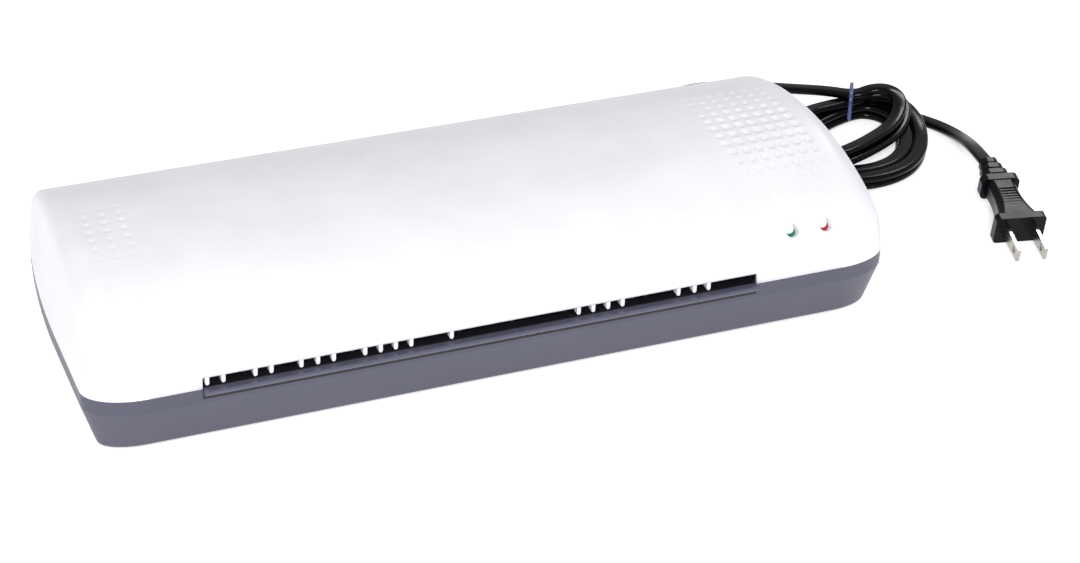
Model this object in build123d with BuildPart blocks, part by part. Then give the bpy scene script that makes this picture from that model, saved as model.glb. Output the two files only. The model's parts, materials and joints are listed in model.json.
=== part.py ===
from build123d import *
import math
import os

# Desktop pouch laminator for pouches up to 229 mm wide, in millimetres.
# Origin: centre of the footprint, on the table. +X right end, +Y back, +Z up.

# ---------------------------------------------------------------- driving dimensions
HALF_LENGTH = 174.0
HALF_DEPTH = 71.0
TOP_Z = 66.4
SEAM_Z = 27.4          # joint between cover and base
BAND_Z = 20.9          # lower edge of the upright band on the base
BASE_Z = 1.5           # underside of the base, above the feet
BASE_INSET = 6.0       # how far the base tapers in at its underside
BASE_ROUND = 2.5       # rounded lower edge of the base
CREST_Y = -6.2         # highest line of the cover
WALL = 2.2             # casing wall
COVER_LIP = 4.0        # upright skirt of the cover above the seam
CORNER_X = 24.0        # front corner of the plan outline, along X
CORNER_Y = 14.0        # front corner of the plan outline, along Y
BOW_Y = -17.0          # widest point of the ends
BOW_R = 430.0          # radius of the bowed ends behind the widest point
REAR_R = 9.4           # rear corner of the plan outline
END_LEAN = 5.8         # draft of the end walls, over the cover's height
END_ROUND_FRONT = 17.0
END_ROUND_REAR = 2.6

SLOT_X0 = -128.7       # pouch path, left wall
SLOT_X1 = 109.3        # pouch path, right wall
SLOT_TOP = 32.4
PATH_Z = 29.9          # height at which the pouch travels
TRAY_REACH = 3.0       # feed and exit lips stand out this far
TRAY_TOP = 27.4
TRAY_T = 2.0

PLATE_T = 1.5          # chassis side plates
PLATE_GAP = 2.0        # side plate to pouch path
ROLLER_Y = 12.0
ROLLER_R = 9.85
SHAFT_R = 3.0
RUN_FIT = 0.04         # radial clearance of a running fit
GEAR_MODULE = 1.0
ROLLER_TEETH = 20
IDLER_TEETH = 32
PINION_TEETH = 14
IDLER_ANGLE = 170.0    # direction from lower roller gear to idler, in the YZ plane
PINION_ANGLE = 165.0   # direction from idler to motor pinion
GEAR_X = 122.5
GEAR_W = 6.0

LAMP_X = (127.3, 142.8)
LAMP_Y = -65.0

SWITCH_X = 123.0
SWITCH_Z = 15.5
SWITCH_LONG = 19.0
SWITCH_HIGH = 12.6
PANEL_Y = 61.6         # inside face of the rear panel that carries switch and cord boot
PANEL_T = 1.8
PANEL_X = (106.0, 154.0)
WINDOW_X = (110.5, 151.0)
WINDOW_Z = (6.5, 23.2)
CORD_X = 143.0
CORD_Z = 14.0
BOOT_END_Y = 88.0

CORD_D = 7.0           # width of the flat twin lead

LEFT_PLATE_X = SLOT_X0 - PLATE_GAP - PLATE_T
RIGHT_PLATE_X = SLOT_X1 + PLATE_GAP
LOWER_ROLLER_Z = PATH_Z - GEAR_MODULE * ROLLER_TEETH / 2
UPPER_ROLLER_Z = PATH_Z + GEAR_MODULE * ROLLER_TEETH / 2

os.makedirs("parts", exist_ok=True)


def save(part, name):
    """Labels a finished piece and writes it."""
    part.label = name
    export_step(part, f"parts/{name}.step")


def polar(y, z, radius, degrees):
    """Point at a distance and direction from (y, z), in the YZ plane."""
    a = math.radians(degrees)
    return y + radius * math.cos(a), z + radius * math.sin(a)


# ---------------------------------------------------------------- casing outline
def plan_outline(inset):
    """Closed plan outline of the case, pulled in by inset all round."""
    x = HALF_LENGTH - inset
    y0 = -HALF_DEPTH + inset
    y1 = HALF_DEPTH - inset
    corner_y = -HALF_DEPTH + CORNER_Y
    rear_x = bow_x(y1) - inset
    mid_y = (BOW_Y + y1) / 2
    with BuildSketch() as outline:
        with BuildLine():
            Line((0, y0), (HALF_LENGTH - CORNER_X, y0))
            EllipticalCenterArc(
                (HALF_LENGTH - CORNER_X, corner_y),
                CORNER_X - inset,
                CORNER_Y - inset,
                start_angle=270,
                arc_size=90,
            )
            Line((x, corner_y), (x, BOW_Y))
            ThreePointArc((x, BOW_Y), (bow_x(mid_y) - inset, mid_y), (rear_x, y1))
            Line((rear_x, y1), (0, y1))
            mirror(about=Plane.YZ)
        make_face()
        fillet(outline.vertices().group_by(Axis.Y)[-1].filter_by(lambda v: abs(v.X) > 1), REAR_R - inset)
    return outline.sketch


def bow_x(y):
    """Half length of the bowed end at depth y, behind its widest point."""
    return HALF_LENGTH - BOW_R + math.sqrt(BOW_R**2 - (y - BOW_Y) ** 2)


def half_width(y):
    """Half length of the plan outline at depth y, with its corners."""
    front = -HALF_DEPTH + CORNER_Y
    if y < front:
        share = (front - y) / CORNER_Y
        return HALF_LENGTH - CORNER_X + CORNER_X * math.sqrt(max(0, 1 - share**2))
    if y < BOW_Y:
        return HALF_LENGTH
    rear = HALF_DEPTH - REAR_R
    if y > rear:
        share = (y - rear) / REAR_R
        return bow_x(rear) - REAR_R + REAR_R * math.sqrt(max(0, 1 - share**2))
    return bow_x(y)


def crown_z(y, inset):
    """Height of the cover's skin at depth y; inset gives its inside face."""
    if y < CREST_Y:
        share = (CREST_Y - y) / (HALF_DEPTH - inset + CREST_Y)
    else:
        share = (y - CREST_Y) / (HALF_DEPTH - inset - CREST_Y)
    rise = TOP_Z - SEAM_Z - COVER_LIP - inset
    return SEAM_Z + COVER_LIP + rise * math.sqrt(max(0, 1 - min(share, 1) ** 2.2))


def section_depths(inset):
    """Depths of the cover's cross sections: close together round the corners."""
    front = -HALF_DEPTH + CORNER_Y
    rear = HALF_DEPTH - REAR_R
    steps = [math.radians(a) for a in (90, 72, 54, 36, 18, 0)]
    depths = [front - (CORNER_Y - inset) * math.sin(a) for a in steps]
    depths += [front + (rear - front) * k / 9 for k in range(1, 9)]
    depths += [rear + (REAR_R - inset) * math.sin(a) for a in reversed(steps)]
    return depths


def cover_section(y, inset, foot):
    """Cross section of the cover at depth y: leaning ends, rounded shoulders, flat top."""
    top = crown_z(y, inset)
    high = top - SEAM_Z
    back = (HALF_DEPTH - y) / (2 * HALF_DEPTH)
    reach = y / (HALF_DEPTH - inset) * HALF_DEPTH
    half = half_width(reach) - inset
    lean = END_LEAN / (TOP_Z - SEAM_Z)
    radius = END_ROUND_REAR + (END_ROUND_FRONT - END_ROUND_REAR) * back
    radius = max(0.8, min(radius, 0.85 * high) - inset)
    foot_x = half + lean * foot
    top_x = half - lean * high
    with BuildSketch(Plane.XZ.offset(-y)) as section:
        with BuildLine():
            Polyline(
                (-foot_x, SEAM_Z - foot),
                (foot_x, SEAM_Z - foot),
                (top_x, top),
                (-top_x, top),
                close=True,
            )
        make_face()
        fillet(section.vertices().group_by(Axis.Y)[-1], radius)
    return section.sketch


def cover_solid(inset, foot):
    """Domed solid of the cover, lofted from front to back."""
    sections = [cover_section(y, inset, foot) for y in section_depths(inset)]
    with BuildPart() as dome:
        loft(sections)
    return dome.part


def base_solid(inset, floor_z):
    """Tapered tray solid up to the seam, with an upright band at its top."""
    share = (BAND_Z - floor_z) / (BAND_Z - BASE_Z)
    low = plan_outline(inset + BASE_INSET * share)
    top = plan_outline(inset)
    over = 1.0 if inset else 0.0
    with BuildPart() as tray:
        loft([Plane.XY.offset(floor_z) * low, Plane.XY.offset(BAND_Z) * top], ruled=True)
        if not inset:
            fillet(tray.faces().sort_by(Axis.Z)[0].edges(), BASE_ROUND)
        with BuildSketch(Plane.XY.offset(BAND_Z)):
            add(top)
        extrude(amount=SEAM_Z - BAND_Z + over)
    return tray.part


# ---------------------------------------------------------------- shared helpers
FLOOR_Z = BASE_Z + WALL
IDLER_YZ = polar(ROLLER_Y, LOWER_ROLLER_Z, GEAR_MODULE * (ROLLER_TEETH + IDLER_TEETH) / 2, IDLER_ANGLE)
MOTOR_YZ = polar(*IDLER_YZ, GEAR_MODULE * (IDLER_TEETH + PINION_TEETH) / 2, PINION_ANGLE)
CASE_SCREWS = ((-155.0, -42.0), (-155.0, 42.0), (160.0, -42.0), (160.0, 10.0))
PLATE_SCREWS_Y = (-50.0, 34.0)
TRAY_SCREWS_X = (-88.0, -9.7, 70.0)
TRAY_SCREW_Y = -46.0
EXIT_SCREW_Y = 52.0
BOARD_X = (128.0, 157.0)
BOARD_Y = (19.0, 44.0)
BOARD_Z = 9.0
RUN = SLOT_X1 - SLOT_X0
SLOT_MID = (SLOT_X0 + SLOT_X1) / 2


def block(x, y, z):
    """Box between low and high values of each axis; it belongs to the open part."""
    with Locations(((x[0] + x[1]) / 2, (y[0] + y[1]) / 2, (z[0] + z[1]) / 2)):
        Box(x[1] - x[0], y[1] - y[0], z[1] - z[0])


def cut_block(x, y, z):
    """The same box, cut away."""
    with Locations(((x[0] + x[1]) / 2, (y[0] + y[1]) / 2, (z[0] + z[1]) / 2)):
        Box(x[1] - x[0], y[1] - y[0], z[1] - z[0], mode=Mode.SUBTRACT)


def rod_z(x, y, z, radius, mode=Mode.ADD):
    """Upright cylinder between two heights."""
    with Locations((x, y, z[0])):
        Cylinder(radius, z[1] - z[0], align=(Align.CENTER, Align.CENTER, Align.MIN), mode=mode)


def rod_x(y, z, x, radius, mode=Mode.ADD):
    """Cylinder along X between two places."""
    with Locations(Location((x[0], y, z), (0, 90, 0))):
        Cylinder(radius, x[1] - x[0], align=(Align.CENTER, Align.CENTER, Align.MIN), mode=mode)


# ---------------------------------------------------------------- casing
TOOTH_X = (
    -126.6, -120.1, -107.2, -100.7, -88.5, -81.7, -75.2, -62.2, -55.7, -49.4, -42.9,
    -25.8, 29.2, 35.6, 42.2, 48.6, 73.7, 81.0, 87.4,
)
FIN_X = (-110.3, -65.5, -20.4, 2.0, 24.8, 55.2, 61.2)
TOOTH_T = 1.7
TOOTH_FOOT_Z = 29.4
FIN_TOP_Z = 29.0


def lamp_plane(x, depth):
    """Plane square to the cover's skin at a lamp, at a depth below it."""
    step = 0.5
    rise = crown_z(LAMP_Y + step, 0) - crown_z(LAMP_Y - step, 0)
    normal = Vector(0, -rise, 2 * step).normalized()
    skin = Vector(x, LAMP_Y, crown_z(LAMP_Y, 0))
    return Plane(origin=skin - normal * depth, x_dir=(1, 0, 0), z_dir=normal)


def cover_skin():
    """Hollow cover, cut level at the seam, with its screw posts."""
    with BuildPart() as solid:
        add(cover_solid(0, 1))
        split(bisect_by=Plane.XY.offset(SEAM_Z), keep=Keep.TOP)
    with BuildPart() as posts:
        for x, y in CASE_SCREWS:
            rod_z(x, y, (SEAM_Z, TOP_Z), 3.8)
    skin = solid.part - cover_solid(WALL, 2)
    return skin + (posts.part & solid.part)


def make_top_cover():
    skin = cover_skin()
    with BuildPart() as top_cover:
        add(skin)
        for x, y in CASE_SCREWS:
            rod_z(x, y, (SEAM_Z, SEAM_Z + 14), 1.5, Mode.SUBTRACT)
        for y in (-HALF_DEPTH, HALF_DEPTH):
            cut_block((SLOT_X0, SLOT_X1), (y - 5, y + 5), (SEAM_Z - 1, SLOT_TOP))
        for x in TOOTH_X:
            block((x - TOOTH_T / 2, x + TOOTH_T / 2), (-70.6, -67.0), (TOOTH_FOOT_Z, SLOT_TOP + 3))
        for x in LAMP_X:
            with BuildSketch(lamp_plane(x, 6)):
                Circle(3.2)
            extrude(amount=12, mode=Mode.SUBTRACT)
    save(top_cover.part, "top_cover")


def make_base_shell():
    with BuildPart() as base_shell:
        add(base_solid(0, BASE_Z))
        add(base_solid(WALL, FLOOR_Z), mode=Mode.SUBTRACT)
        for y in (-HALF_DEPTH, HALF_DEPTH):
            cut_block((SLOT_X0, SLOT_X1), (y - 6, y + 6), (TRAY_TOP - TRAY_T, SEAM_Z + 2))
        cut_block(WINDOW_X, (60, 80), WINDOW_Z)
        for x, y in CASE_SCREWS:
            rod_z(x, y, (FLOOR_Z - 0.5, SEAM_Z), 4.0)
            rod_z(x, y, (0, SEAM_Z + 1), 1.7, Mode.SUBTRACT)
            rod_z(x, y, (0, 8), 3.2, Mode.SUBTRACT)
        for x in (LEFT_PLATE_X - 6, RIGHT_PLATE_X + PLATE_T + 6):
            for y in PLATE_SCREWS_Y:
                rod_z(x, y, (FLOOR_Z - 0.5, 5.2), 3.5)
                rod_z(x, y, (2.6, 6), 1.25, Mode.SUBTRACT)
        for x in TRAY_SCREWS_X:
            for y in (TRAY_SCREW_Y, EXIT_SCREW_Y):
                rod_z(x, y, (FLOOR_Z - 0.5, TRAY_TOP - TRAY_T), 3.2)
                rod_z(x, y, (14, TRAY_TOP), 1.25, Mode.SUBTRACT)
        for x in BOARD_X:
            for y in BOARD_Y:
                inner_x = x + (2.5 if x < 140 else -2.5)
                inner_y = y + (2.5 if y < 30 else -2.5)
                rod_z(inner_x, inner_y, (FLOOR_Z - 0.5, BOARD_Z), 2.2)
        with BuildSketch(Plane.XY.offset(BASE_Z - 1)):
            with Locations((SLOT_MID, -16), (SLOT_MID, 16)):
                with GridLocations(9.0, 1, 22, 1):
                    SlotOverall(20, 3.0, rotation=90)
        extrude(amount=WALL + 2, mode=Mode.SUBTRACT)
    save(base_shell.part, "base_shell")


def tray_profile(nose_y, end_y):
    """Side profile of a feed lip: flat shelf with a full round nose."""
    side = 1 if nose_y > 0 else -1
    start_y = nose_y - side * TRAY_T / 2
    with BuildSketch() as profile:
        with BuildLine():
            Polyline(
                (start_y, TRAY_TOP),
                (end_y, TRAY_TOP),
                (end_y, TRAY_TOP - TRAY_T),
                (start_y, TRAY_TOP - TRAY_T),
            )
            ThreePointArc(
                (start_y, TRAY_TOP - TRAY_T),
                (nose_y, TRAY_TOP - TRAY_T / 2),
                (start_y, TRAY_TOP),
            )
        make_face()
    return profile.sketch


def make_feed_tray():
    nose = -HALF_DEPTH - TRAY_REACH
    with BuildPart() as feed_tray:
        with BuildSketch(Plane.YZ.offset(SLOT_X0 + 0.2)):
            add(tray_profile(nose, -37.0))
        extrude(amount=RUN - 0.4)
        for x in FIN_X:
            block((x - 0.7, x + 0.7), (-65.0, -40.0), (TRAY_TOP - 0.5, FIN_TOP_Z))
        for x in TRAY_SCREWS_X:
            rod_z(x, TRAY_SCREW_Y, (20, 30), 1.5, Mode.SUBTRACT)
            rod_z(x, TRAY_SCREW_Y, (TRAY_TOP - 1.2, 30), 2.8, Mode.SUBTRACT)
    save(feed_tray.part, "feed_tray")


def make_exit_tray():
    nose = HALF_DEPTH + TRAY_REACH
    with BuildPart() as exit_tray:
        with BuildSketch(Plane.YZ.offset(SLOT_X0 + 0.2)):
            add(tray_profile(nose, 27.0))
        extrude(amount=RUN - 0.4)
        for x in TRAY_SCREWS_X:
            rod_z(x, EXIT_SCREW_Y, (20, 30), 1.5, Mode.SUBTRACT)
            rod_z(x, EXIT_SCREW_Y, (TRAY_TOP - 1.2, 30), 2.8, Mode.SUBTRACT)
    save(exit_tray.part, "exit_tray")


def make_tray_screws():
    with BuildPart() as tray_screws:
        for x in TRAY_SCREWS_X:
            for y in (TRAY_SCREW_Y, EXIT_SCREW_Y):
                rod_z(x, y, (15, TRAY_TOP - 1.2), 1.25)
                rod_z(x, y, (TRAY_TOP - 1.2, TRAY_TOP - 0.1), 2.6)
    save(tray_screws.part, "tray_screws")


def make_rubber_feet():
    with BuildPart() as rubber_feet:
        for x in (-140, 140):
            for y in (-48, 48):
                rod_z(x, y, (0, BASE_Z), 6.0)
        bottom = rubber_feet.faces().group_by(Axis.Z)[0]
        chamfer(bottom.edges(), 0.4)
    save(rubber_feet.part, "rubber_feet")


def make_case_screws():
    with BuildPart() as case_screws:
        for x, y in CASE_SCREWS:
            rod_z(x, y, (8, SEAM_Z + 13), 1.5)
            rod_z(x, y, (5.8, 8), 2.9)
            with BuildSketch(Plane.XY.offset(5.8)):
                with Locations((x, y)):
                    Rectangle(3.6, 0.8)
                    Rectangle(0.8, 3.6)
            extrude(amount=1.0, mode=Mode.SUBTRACT)
    save(case_screws.part, "case_screws")


def make_rear_panel():
    with BuildPart() as rear_panel:
        block(PANEL_X, (PANEL_Y, PANEL_Y + PANEL_T), (FLOOR_Z, 25.0))
        cut_block(
            (SWITCH_X - SWITCH_LONG / 2, SWITCH_X + SWITCH_LONG / 2),
            (60, 70),
            (SWITCH_Z - SWITCH_HIGH / 2, SWITCH_Z + SWITCH_HIGH / 2),
        )
        with BuildSketch(Plane.XZ.offset(-60)):
            with Locations((CORD_X, CORD_Z)):
                Circle(4.6)
        extrude(amount=-10, mode=Mode.SUBTRACT)
    save(rear_panel.part, "rear_panel")


# ---------------------------------------------------------------- chassis
PLATE_FOOT_Z = 5.2
BLOCK_Y = 11.0         # sliding bearing block, width in the plate's window
BLOCK_Z = (UPPER_ROLLER_Z - 6.0, UPPER_ROLLER_Z + 6.0)
LIFT = 1.0             # how far the upper roller can rise
SPRING_TOP_Z = 54.0
POSTS = ((-48.0, 16.0), (-38.0, 47.0), (-16.0, 48.0))
HEATER_Y = (-34.0, -2.0)
LOWER_HEATER_Z = (25.1, 29.1)
UPPER_HEATER_Z = (30.7, 34.7)
HEATER_SCREWS_Y = (-28.0, -6.0)
FRONT_BAR = ((-52.0, -42.0), (38.0, 46.0))
REAR_BAR = ((28.0, 38.0), (44.0, 52.0))
GUIDE_Z = (SLOT_TOP, SLOT_TOP + 1.5)


def screw_points():
    """Places in the YZ plane where screws hold the cross members to the side plates."""
    points = [(y, sum(z) / 2) for z in (LOWER_HEATER_Z, UPPER_HEATER_Z) for y in HEATER_SCREWS_Y]
    points.append((-47.0, FRONT_BAR[1][0] + 4))
    points.append((33.0, REAR_BAR[1][0] + 4))
    return points


def make_side_plate(name, x0, outward):
    """Upright steel plate with a bent foot and a spring tab, both pointing outward."""
    x1 = x0 + PLATE_T
    outer = x1 if outward > 0 else x0
    foot = sorted((outer, outer + outward * 12))
    tab = sorted((outer, outer + outward * 9))
    with BuildPart() as plate:
        with BuildSketch(Plane.YZ.offset(x0)):
            with BuildLine():
                Polyline(
                    (-58, PLATE_FOOT_Z), (40, PLATE_FOOT_Z), (40, 48), (31, 57),
                    (-24, 57), (-58, 42), close=True,
                )
            make_face()
        extrude(amount=PLATE_T)
        for y in PLATE_SCREWS_Y:
            block(foot, (y - 5, y + 5), (PLATE_FOOT_Z, PLATE_FOOT_Z + PLATE_T))
            rod_z(outer + outward * 6, y, (4, 8), 1.6, Mode.SUBTRACT)
        block(tab, (ROLLER_Y - 5, ROLLER_Y + 5), (SPRING_TOP_Z, SPRING_TOP_Z + PLATE_T))
        through = (x0 - 1, x1 + 1)
        rod_x(ROLLER_Y, LOWER_ROLLER_Z, through, 5.0, Mode.SUBTRACT)
        cut_block(
            through,
            (ROLLER_Y - BLOCK_Y / 2 - 0.1, ROLLER_Y + BLOCK_Y / 2 + 0.1),
            (BLOCK_Z[0] - 0.1, BLOCK_Z[1] + LIFT + 0.3),
        )
        for y, z in screw_points():
            rod_x(y, z, through, 1.5, Mode.SUBTRACT)
        if outward > 0:
            for y, z in POSTS:
                rod_x(y, z, through, 1.5, Mode.SUBTRACT)
            rod_x(*IDLER_YZ, through, 2.0, Mode.SUBTRACT)
    save(plate.part, name)


def make_plate_screws():
    with BuildPart() as plate_screws:
        for x in (LEFT_PLATE_X - 6, RIGHT_PLATE_X + PLATE_T + 6):
            for y in PLATE_SCREWS_Y:
                rod_z(x, y, (2.8, PLATE_FOOT_Z + PLATE_T), 1.25)
                rod_z(x, y, (PLATE_FOOT_Z + PLATE_T, PLATE_FOOT_Z + PLATE_T + 1.5), 2.6)
    save(plate_screws.part, "plate_screws")


def make_cross_screws():
    with BuildPart() as cross_screws:
        for y, z in screw_points():
            rod_x(y, z, (LEFT_PLATE_X - 1.6, LEFT_PLATE_X), 2.6)
            rod_x(y, z, (LEFT_PLATE_X, LEFT_PLATE_X + PLATE_T + 6), 1.25)
            rod_x(y, z, (RIGHT_PLATE_X + PLATE_T, RIGHT_PLATE_X + PLATE_T + 1.6), 2.6)
            rod_x(y, z, (RIGHT_PLATE_X - 6, RIGHT_PLATE_X + PLATE_T), 1.25)
    save(cross_screws.part, "cross_screws")


def cross_member(name, y, z, inner=None):
    """Bar between the side plates with a tapped hole in each end."""
    ends = (LEFT_PLATE_X + PLATE_T, RIGHT_PLATE_X)
    with BuildPart() as bar:
        block(ends, y, z)
        if inner:
            cut_block((ends[0] + 8, ends[1] - 8), *inner)
        for hole_y, hole_z in screw_points():
            if y[0] < hole_y < y[1] and z[0] < hole_z < z[1]:
                rod_x(hole_y, hole_z, (ends[0] - 1, ends[0] + 7), 1.25, Mode.SUBTRACT)
                rod_x(hole_y, hole_z, (ends[1] - 7, ends[1] + 1), 1.25, Mode.SUBTRACT)
    save(bar.part, name)


def make_cross_members():
    bar_y, bar_z = FRONT_BAR
    cross_member("front_tie_bar", bar_y, bar_z, ((bar_y[0] + 1.5, bar_y[1] + 1), (bar_z[0] + 1.5, bar_z[1] - 1.5)))
    bar_y, bar_z = REAR_BAR
    cross_member("rear_tie_bar", bar_y, bar_z, ((bar_y[0] - 1, bar_y[1] - 1.5), (bar_z[0] + 1.5, bar_z[1] - 1.5)))
    cross_member("lower_heater_plate", HEATER_Y, LOWER_HEATER_Z)
    cross_member("upper_heater_plate", HEATER_Y, UPPER_HEATER_Z)


def make_upper_guide():
    """Folded sheet above the path behind the rollers, with stripper fingers."""
    ends = (LEFT_PLATE_X + PLATE_T, RIGHT_PLATE_X)
    with BuildPart() as upper_guide:
        block(ends, (26, 39.9), GUIDE_Z)
        block((SLOT_X0 + 1, SLOT_X1 - 1), (39, 66), GUIDE_Z)
        for k in range(12):
            x = SLOT_X0 + 12 + k * (RUN - 24) / 11
            block((x - 2, x + 2), (23.8, 27), GUIDE_Z)
    save(upper_guide.part, "upper_guide")


# ---------------------------------------------------------------- heating
def make_heating_elements():
    for name, z in (
        ("lower_heating_element", (LOWER_HEATER_Z[0] - 2, LOWER_HEATER_Z[0])),
        ("upper_heating_element", (UPPER_HEATER_Z[1], UPPER_HEATER_Z[1] + 2)),
    ):
        with BuildPart() as element:
            block((-118, 98), (-28, -8), z)
            edges = element.edges().filter_by(Axis.Z)
            fillet(edges, 3)
        save(element.part, name)


def make_thermostat():
    z = UPPER_HEATER_Z[1] + 2
    with BuildPart() as thermostat:
        rod_z(20, -18, (z, z + 4.5), 7.8)
        rod_z(20, -18, (z + 4.5, z + 7.5), 6.5)
        block((10, 30), (-22, -14), (z, z + 0.8))
        for x in (16, 24):
            block((x - 0.4, x + 0.4), (-20.4, -15.6), (z + 7.4, z + 13))
    save(thermostat.part, "thermostat")


def make_thermal_fuse():
    z = UPPER_HEATER_Z[1] + 2
    with BuildPart() as thermal_fuse:
        rod_x(-18, z + 2.1, (-66, -54), 2.0)
        rod_x(-18, z + 2.1, (-78, -42), 0.5)
    save(thermal_fuse.part, "thermal_fuse")


# ---------------------------------------------------------------- gears and rollers
def mesh_phase(teeth, own_direction, other_teeth, other_direction, other_phase):
    """Turn of a gear, in degrees, that puts its teeth in the other's gaps."""
    other_share = (other_direction - other_phase) * other_teeth / 360
    return own_direction - (0.5 - other_share) * 360 / teeth


def gear_outline(teeth, phase):
    """Outline of a spur gear with straight flanks and some backlash."""
    pitch = 360 / teeth
    radius = GEAR_MODULE * teeth / 2
    root = radius - 1.2 * GEAR_MODULE
    tip = radius + 0.9 * GEAR_MODULE
    points = []
    for k in range(teeth):
        middle = phase + k * pitch
        for r, share in ((root, -0.33), (tip, -0.13), (tip, 0.13), (root, 0.33)):
            points.append(polar(0, 0, r, middle + share * pitch))
    with BuildSketch() as outline:
        with BuildLine():
            Polyline(*points, close=True)
        make_face()
    return outline.sketch


def make_gear(name, teeth, centre, phase, bore, hub_r, hub_x):
    with BuildPart() as gear:
        with BuildSketch(Plane.YZ.offset(GEAR_X)):
            with Locations(centre):
                add(gear_outline(teeth, phase))
        extrude(amount=GEAR_W)
        rod_x(*centre, hub_x, hub_r)
        rod_x(*centre, (GEAR_X - 12, GEAR_X + 12), bore, Mode.SUBTRACT)
    save(gear.part, name)


def make_gears():
    lower = (ROLLER_Y, LOWER_ROLLER_Z)
    upper = (ROLLER_Y, UPPER_ROLLER_Z)
    upper_phase = mesh_phase(ROLLER_TEETH, 270, ROLLER_TEETH, 90, 0)
    idler_phase = mesh_phase(IDLER_TEETH, IDLER_ANGLE + 180, ROLLER_TEETH, IDLER_ANGLE, 0)
    pinion_phase = mesh_phase(PINION_TEETH, PINION_ANGLE + 180, IDLER_TEETH, PINION_ANGLE, idler_phase)
    make_gear("lower_roller_gear", ROLLER_TEETH, lower, 0, SHAFT_R, 5.5, (GEAR_X, GEAR_X + GEAR_W + 1))
    make_gear("upper_roller_gear", ROLLER_TEETH, upper, upper_phase, SHAFT_R, 5.5, (GEAR_X, GEAR_X + GEAR_W + 1))
    make_gear("idler_gear", IDLER_TEETH, IDLER_YZ, idler_phase, 2.5 + RUN_FIT, 4.5, (GEAR_X - 6, GEAR_X + GEAR_W))
    make_gear("motor_pinion", PINION_TEETH, MOTOR_YZ, pinion_phase, 2.0, 4.0, (GEAR_X - 2, GEAR_X + GEAR_W))


def make_roller(level, z):
    """Steel shaft with a silicone sleeve and an end clip."""
    left = LEFT_PLATE_X - 12.0
    right = GEAR_X + GEAR_W + 4.0
    grooves = (left + 2.0, right - 2.8)
    with BuildPart() as shaft:
        rod_x(ROLLER_Y, z, (left, right), SHAFT_R)
        for x in grooves:
            with BuildSketch(Plane.YZ.offset(x)):
                with Locations((ROLLER_Y, z)):
                    Circle(SHAFT_R + 1)
                    Circle(SHAFT_R - 0.6, mode=Mode.SUBTRACT)
            extrude(amount=0.8, mode=Mode.SUBTRACT)
    save(shaft.part, f"{level}_roller_shaft")
    with BuildPart() as sleeve:
        rod_x(ROLLER_Y, z, (SLOT_X0 + 1, SLOT_X1 - 1), ROLLER_R)
        rod_x(ROLLER_Y, z, (SLOT_X0, SLOT_X1), SHAFT_R, Mode.SUBTRACT)
    save(sleeve.part, f"{level}_roller_sleeve")
    with BuildPart() as clips:
        for x in grooves:
            rod_x(ROLLER_Y, z, (x, x + 0.8), SHAFT_R + 1.8)
            rod_x(ROLLER_Y, z, (x - 1, x + 2), SHAFT_R - 0.6, Mode.SUBTRACT)
            cut_block((x - 0.5, x + 1.3), (ROLLER_Y - 1.6, ROLLER_Y + 1.6), (z - 6, z))
    save(clips.part, f"{level}_roller_clips")


def make_lower_bushes():
    """Flanged bushes that carry the lower roller in the side plates."""
    with BuildPart() as bushes:
        for x0, flange in (
            (LEFT_PLATE_X, (LEFT_PLATE_X - 1.2, LEFT_PLATE_X)),
            (RIGHT_PLATE_X, (RIGHT_PLATE_X + PLATE_T, RIGHT_PLATE_X + PLATE_T + 1.2)),
        ):
            rod_x(ROLLER_Y, LOWER_ROLLER_Z, (x0, x0 + PLATE_T), 5.0)
            rod_x(ROLLER_Y, LOWER_ROLLER_Z, flange, 6.5)
            rod_x(ROLLER_Y, LOWER_ROLLER_Z, (x0 - 3, x0 + 5), SHAFT_R + RUN_FIT, Mode.SUBTRACT)
    save(bushes.part, "lower_roller_bushes")


def make_bearing_blocks():
    """Blocks that slide up and down in the side plates with the upper roller."""
    with BuildPart() as blocks:
        for x0, outward in ((LEFT_PLATE_X, -1), (RIGHT_PLATE_X, 1)):
            neck = (x0 - 0.1, x0 + PLATE_T + 0.1)
            inner = sorted((x0 + (0.75 - outward * 0.85), x0 + (0.75 - outward * 2.05)))
            outer = sorted((x0 + (0.75 + outward * 0.85), x0 + (0.75 + outward * 8.6)))
            block(neck, (ROLLER_Y - BLOCK_Y / 2, ROLLER_Y + BLOCK_Y / 2), BLOCK_Z)
            block(inner, (ROLLER_Y - 6.5, ROLLER_Y + 6.5), BLOCK_Z)
            block(outer, (ROLLER_Y - 6.5, ROLLER_Y + 6.5), BLOCK_Z)
            rod_x(ROLLER_Y, UPPER_ROLLER_Z, (x0 - 12, x0 + 14), SHAFT_R + RUN_FIT, Mode.SUBTRACT)
    save(blocks.part, "upper_bearing_blocks")


def make_pressure_springs():
    """Compression springs that press the bearing blocks down."""
    coil_r = 2.9
    wire_r = 0.45
    low = BLOCK_Z[1] + wire_r
    high = SPRING_TOP_Z - wire_r
    springs = []
    for x in (LEFT_PLATE_X - 4.6, RIGHT_PLATE_X + PLATE_T + 4.6):
        with BuildPart() as spring:
            with BuildLine():
                path = Helix(pitch=(high - low) / 4, height=high - low, radius=coil_r, center=(x, ROLLER_Y, low))
            with BuildSketch(Plane(origin=path @ 0, z_dir=path % 0)):
                Circle(wire_r)
            sweep(path=path, is_frenet=True)
        springs.append(spring.part)
    save(Compound(children=springs), "pressure_springs")


def make_idler_pin():
    y, z = IDLER_YZ
    with BuildPart() as idler_pin:
        rod_x(y, z, (RIGHT_PLATE_X, RIGHT_PLATE_X + PLATE_T), 2.0)
        rod_x(y, z, (RIGHT_PLATE_X + PLATE_T, GEAR_X + GEAR_W + 1.5), 2.5)
        rod_x(y, z, (RIGHT_PLATE_X + PLATE_T, GEAR_X - 6.3), 4.0)
        rod_x(y, z, (GEAR_X + GEAR_W + 0.4, GEAR_X + GEAR_W + 1.2), 4.2)
    save(idler_pin.part, "idler_pin")


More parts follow.
